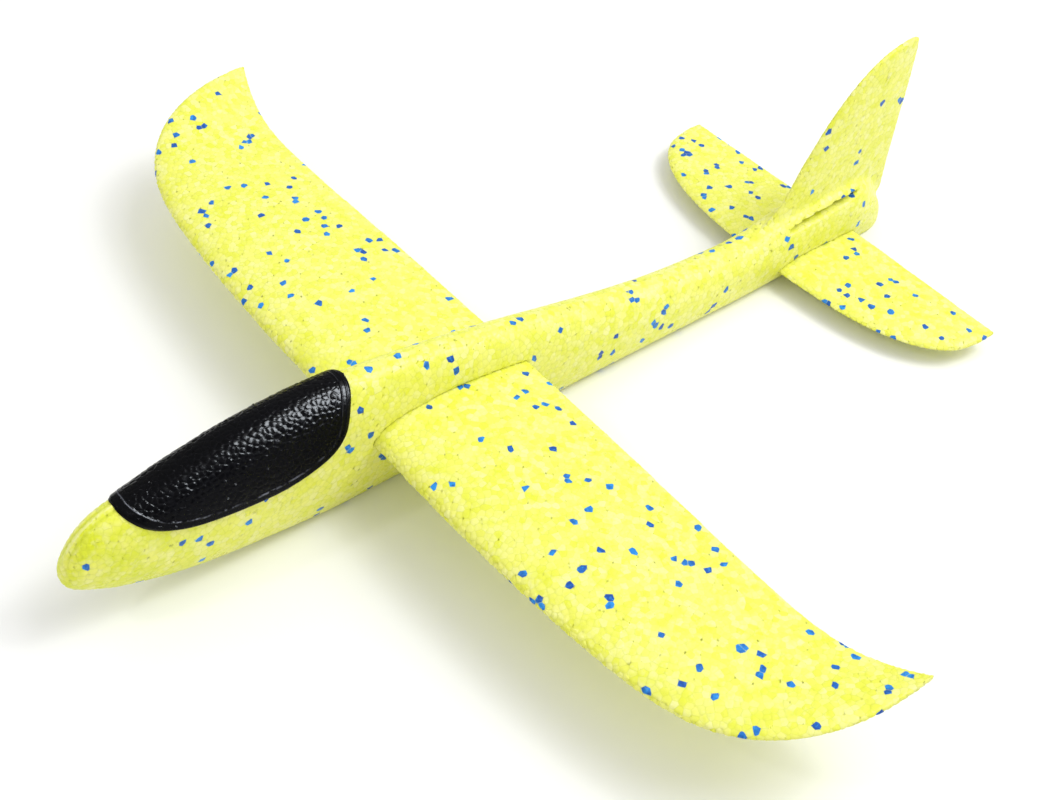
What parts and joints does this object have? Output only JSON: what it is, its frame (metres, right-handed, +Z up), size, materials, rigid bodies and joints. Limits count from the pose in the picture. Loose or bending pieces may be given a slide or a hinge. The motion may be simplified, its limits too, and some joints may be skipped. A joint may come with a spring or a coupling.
{
  "type": "toy airplane",
  "caption": "Hand-launch bead-foam glider: slotted body with fin, two push-in wing halves, push-through tailplane and black cockpit cover.",
  "frame": {"origin": "bottom centre of the whole glider, on the surface its flat belly rests on", "axes": "+X forward to the nose, +Y to port along the wing, +Z up towards the fin's top"},
  "size_m": [0.4764, 0.48, 0.1142],
  "materials": {
    "foam_body": "satin",
    "foam_wings": "satin",
    "foam_tailplane": "satin",
    "black_cover": "gloss",
    "steel": "satin"
  },
  "bodies": {
    "airframe": {"fuselage": "foam_body", "canopy_cover": "black_cover", "nose_weight": "steel"},
    "port_wing": {"wing_left": "foam_wings"},
    "starboard_wing": {"wing_right": "foam_wings"},
    "tail": {"tailplane": "foam_tailplane"}
  },
  "joints": [
    {"name": "wing_left_pull", "type": "slide", "parent": "airframe", "child": "port_wing", "axis": [0, 1, 0], "range_m": [0, 0.06]},
    {"name": "wing_right_pull", "type": "slide", "parent": "airframe", "child": "starboard_wing", "axis": [0, -1, 0], "range_m": [0, 0.06]},
    {"name": "tailplane_push", "type": "slide", "parent": "airframe", "child": "tail", "axis": [0, 1, 0], "range_m": [-0.125, 0.125]}
  ]
}
